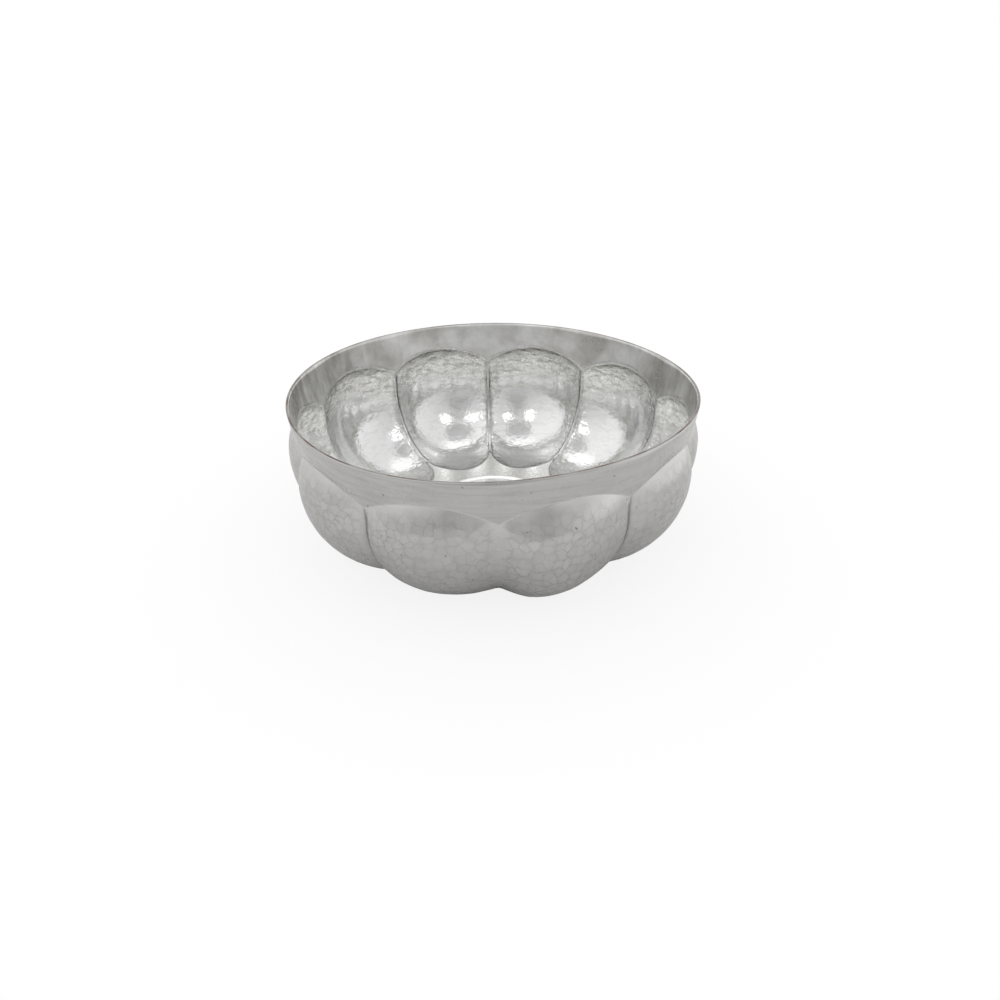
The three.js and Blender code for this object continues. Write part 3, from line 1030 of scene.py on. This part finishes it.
sheet = bpy.data.materials.new("white sheet")
sheet.use_nodes = True
floor_mesh.materials.append(sheet)
tree = sheet.node_tree
shader = tree.nodes["Principled BSDF"]
feed(tree, shader, {"Base Color": colour("#F2F2F2"), "Roughness": 0.9, "Specular IOR Level": 0.0})
where = add_node(tree, "ShaderNodeTexCoord").outputs["Object"]
outwards = add_node(tree, "ShaderNodeVectorMath", {0: where}, operation="NORMALIZE")
outwards = add_node(tree, "ShaderNodeSeparateXYZ", {0: outwards})
cloth = cloth_level(tree, outwards)
path = add_node(tree, "ShaderNodeLightPath")
level = add_node(tree, "ShaderNodeMix", {"Factor": path.outputs["Is Camera Ray"], "A": cloth, "B": 1.0})
glow = add_node(tree, "ShaderNodeEmission", {"Color": (1, 1, 1, 1), "Strength": level})

# %% Where the sheet glows
SHADOW_SHOWS = 0.14  # how much of its own shading the sheet keeps near the bowl
CAMERA_FADE = (0.08, 0.2)  # metres from the bowl's middle
MIRROR_FADE = (0.2, 0.45)
away = add_node(tree, "ShaderNodeVectorMath", {0: where}, operation="LENGTH")
in_mirror = add_node(
    tree, "ShaderNodeMapRange", {"Value": away, "From Min": MIRROR_FADE[0], "From Max": MIRROR_FADE[1]},
    interpolation_type="SMOOTHSTEP",
)
in_view = add_node(
    tree, "ShaderNodeMapRange",
    {"Value": away, "From Min": CAMERA_FADE[0], "From Max": CAMERA_FADE[1], "To Min": 1 - SHADOW_SHOWS},
    interpolation_type="SMOOTHSTEP",
)
mirrored = add_node(
    tree, "ShaderNodeMath", {0: path.outputs["Is Glossy Ray"], 1: path.outputs["Is Transmission Ray"]},
    operation="MAXIMUM",
)
in_mirror = add_node(tree, "ShaderNodeMath", {0: mirrored, 1: in_mirror}, operation="MULTIPLY")
in_view = add_node(
    tree, "ShaderNodeMath", {0: path.outputs["Is Camera Ray"], 1: in_view}, operation="MULTIPLY"
)
seen = add_node(tree, "ShaderNodeMath", {0: in_mirror, 1: in_view}, operation="MAXIMUM")
mixed = add_node(tree, "ShaderNodeMixShader", {0: seen, 1: shader, 2: glow})
feed(tree, tree.nodes["Material Output"], {"Surface": mixed})
print(f"a sheet {2 * FLOOR_HALF:.0f} m wide")

# %% [markdown]
# The top and the front of the tent.
# The tent has three things more, and the lobes show them small and round, as a spoon would. A vent
# is open in its top and looks dim. A lamp shines on the cloth just behind the vent. In front is the
# slit that the camera looks in by, wide at its foot and narrow at its top.

# %% The world
world = bpy.data.worlds.new("tent of light")
bpy.context.scene.world = world
world.use_nodes = True
tree = world.node_tree
towards = add_node(tree, "ShaderNodeTexCoord").outputs["Generated"]
direction = add_node(tree, "ShaderNodeSeparateXYZ", {0: towards})
cloth = cloth_level(tree, direction)

# %% Vent and lamp


def round_patch(turn, elevation, radius, softness, level):
    """A round part of the tent, so many times as bright as its cloth. Angles are in degrees."""
    middle = bearing(math.radians(turn), math.radians(elevation))
    nearness = add_node(tree, "ShaderNodeVectorMath", {0: towards, 1: middle}, operation="DOT_PRODUCT")
    radius = math.radians(radius)
    edge = {"From Min": math.cos(radius * (1 + softness)), "From Max": math.cos(radius * (1 - softness))}
    return add_node(tree, "ShaderNodeMapRange", {"Value": nearness, **edge, "To Min": 1, "To Max": level})


vent = round_patch(turn=0, elevation=78, radius=17, softness=0.1, level=0.64)
lamp = round_patch(turn=180, elevation=72, radius=17, softness=0.3, level=1.36)

# %% Slit
SLIT = 0.54  # half its width at its foot, as a part of a direction
SLIT_NARROWS = 0.45  # towards its top
SLIT_DIMS = 0.26
slit = add_node(tree, "ShaderNodeMath", {0: direction.outputs["X"]}, operation="ABSOLUTE")
slit = add_node(
    tree, "ShaderNodeMath", {0: direction.outputs["Z"], 1: SLIT_NARROWS, 2: slit}, operation="MULTIPLY_ADD"
)
slit = add_node(
    tree, "ShaderNodeMapRange",
    {"Value": slit, "From Min": SLIT * 0.7, "From Max": SLIT, "To Min": SLIT_DIMS, "To Max": 0},
)
for part, none_at, all_at in (("Z", 0.88, 0.75), ("Z", 0.25, 0.42), ("Y", 0.0, -0.2)):
    kept = add_node(
        tree, "ShaderNodeMapRange",
        {"Value": direction.outputs[part], "From Min": none_at, "From Max": all_at},
    )
    slit = add_node(tree, "ShaderNodeMath", {0: slit, 1: kept}, operation="MULTIPLY")
unslit = add_node(tree, "ShaderNodeMath", {0: 1.0, 1: slit}, operation="SUBTRACT")

# %% All of the tent
for change in (unslit, lamp, vent):
    cloth = add_node(tree, "ShaderNodeMath", {0: cloth, 1: change}, operation="MULTIPLY")
path = add_node(tree, "ShaderNodeLightPath")
shown = add_node(tree, "ShaderNodeMix", {"Factor": path.outputs["Is Camera Ray"], "A": cloth, "B": 1.0})
feed(tree, tree.nodes["Background"], {"Strength": shown, "Color": (1, 1, 1, 1)})
bpy.context.scene.view_settings.view_transform = "Standard"
print(f"tent of light: {len(tree.nodes)} nodes")

# %% [markdown]
# Two softboxes.
# They stand in front of the bowl, left and right, at about the height of a raised arm, and give each
# lobe its two bright spots.

# %% Softboxes
SOFTBOX_ELEVATION = math.radians(53)
SOFTBOX_DISTANCE = 1.2  # metres
SOFTBOX_SIDE = 0.22
SOFTBOX_RADIANCE = 2.2  # 1 looks white in a perfect mirror


def softbox(name, turn):
    """A square light that faces the bowl. Turn is in degrees from the front, to the right."""
    towards = bearing(math.radians(turn), SOFTBOX_ELEVATION)
    light = bpy.data.lights.new(name, "AREA")
    light.shape = "SQUARE"
    light.size = SOFTBOX_SIDE
    light.energy = SOFTBOX_RADIANCE * SOFTBOX_SIDE**2 * math.pi
    made = bpy.data.objects.new(name, light)
    made.location = target + SOFTBOX_DISTANCE * towards
    made.rotation_euler = towards.to_track_quat("Z", "Y").to_euler()
    bpy.context.scene.collection.objects.link(made)
    print(f"{name}: {light.energy:.2f} W")


softbox("left softbox", -31)
softbox("right softbox", 32)

# %% Attach each piece to the root body, and hide the measured part it replaces
for piece, node, slot in (
    (tin_outside, "tin_coat_outside", "tin_outside"),
    (copper_sheet, "copper_body", "copper"),
    (tin_inside, "tin_lining_inside", "tin_inside"),
):
    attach(piece, "root")
    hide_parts(node)
